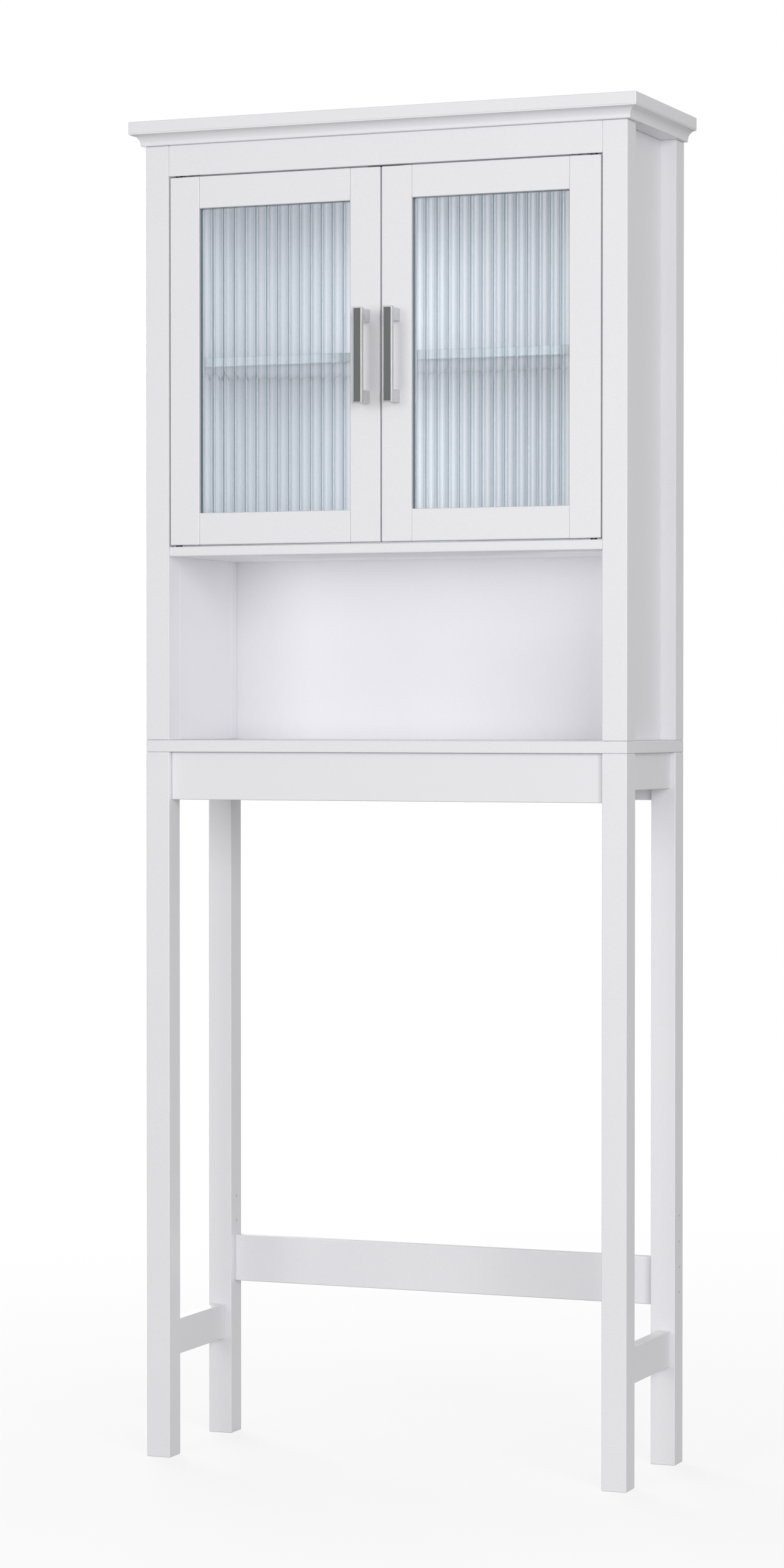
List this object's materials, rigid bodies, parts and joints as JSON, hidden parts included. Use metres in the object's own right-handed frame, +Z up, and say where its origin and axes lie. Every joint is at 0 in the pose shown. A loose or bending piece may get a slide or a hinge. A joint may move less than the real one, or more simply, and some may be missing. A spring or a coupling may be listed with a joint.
{
  "type": "over-the-toilet storage rack",
  "caption": "Tall open-legged bathroom rack that stands over a toilet: open shelf bay, and a wall cabinet with fluted glass doors under a coved cornice.",
  "frame": {"origin": "on the floor under the centre of the object's bounding box", "axes": "+X to the right, +Y from the front to the back, +Z up; the doors and handles face -Y"},
  "size_m": [0.673, 0.248, 1.684],
  "materials": {
    "painted_board": "smooth satin white lacquer on fibreboard",
    "fluted_glass": "clear fluted glass, faintly blue-green",
    "satin_metal": "satin nickel plating",
    "zinc_steel": "zinc-plated steel",
    "beech": "bare fluted beech",
    "dark_plastic": "moulded plastic",
    "magnet": "sintered magnet with steel face"
  },
  "bodies": {
    "rack": {"front_left_leg": "painted_board", "front_right_leg": "painted_board", "rear_left_leg": "painted_board", "rear_right_leg": "painted_board", "front_apron": "painted_board", "rear_apron": "painted_board", "left_apron": "painted_board", "right_apron": "painted_board", "left_stretcher": "painted_board", "right_stretcher": "painted_board", "rear_stretcher": "painted_board", "rear_stretcher_screws": "zinc_steel", "middle_shelf": "painted_board", "post_studs": "zinc_steel", "frame_dowels": "beech", "cam_locks": "zinc_steel", "cam_bolts": "zinc_steel", "front_left_post": "painted_board", "front_right_post": "painted_board", "rear_left_post": "painted_board", "rear_right_post": "painted_board", "left_side_panel": "painted_board", "right_side_panel": "painted_board", "back_panel": "painted_board", "cabinet_floor": "painted_board", "header_rail": "painted_board", "rear_rail": "painted_board", "cornice_board": "painted_board", "crown_board": "painted_board", "crown_screws": "zinc_steel", "shelf_pins": "zinc_steel", "catch_body": "dark_plastic", "catch_magnets": "magnet", "hinge_plates": "zinc_steel", "hardware_screws": "zinc_steel"},
    "shelf": {"adjustable_shelf": "painted_board"},
    "left_door": {"left_door_outer_stile": "painted_board", "left_door_inner_stile": "painted_board", "left_door_top_rail": "painted_board", "left_door_bottom_rail": "painted_board", "left_door_dowels": "beech", "left_door_glass": "fluted_glass", "left_door_beads": "painted_board", "left_door_handle": "satin_metal", "left_handle_screws": "zinc_steel", "left_hinge_leaves": "zinc_steel", "left_strike_plate": "zinc_steel", "left_door_screws": "zinc_steel"},
    "right_door": {"right_door_outer_stile": "painted_board", "right_door_inner_stile": "painted_board", "right_door_top_rail": "painted_board", "right_door_bottom_rail": "painted_board", "right_door_dowels": "beech", "right_door_glass": "fluted_glass", "right_door_beads": "painted_board", "right_door_handle": "satin_metal", "right_handle_screws": "zinc_steel", "right_hinge_leaves": "zinc_steel", "right_strike_plate": "zinc_steel", "right_door_screws": "zinc_steel"}
  },
  "joints": [
    {"name": "left_door_swing", "type": "hinge", "parent": "rack", "child": "left_door", "pos_m": [-0.276, -0.091, 1.3825], "axis": [0, 0, -1], "range_deg": [0, 105]},
    {"name": "right_door_swing", "type": "hinge", "parent": "rack", "child": "right_door", "pos_m": [0.276, -0.091, 1.3825], "axis": [0, 0, 1], "range_deg": [0, 105]},
    {"name": "shelf_lift", "type": "slide", "parent": "rack", "child": "shelf", "axis": [0, 0, 1], "range_m": [0, 0.032]}
  ]
}
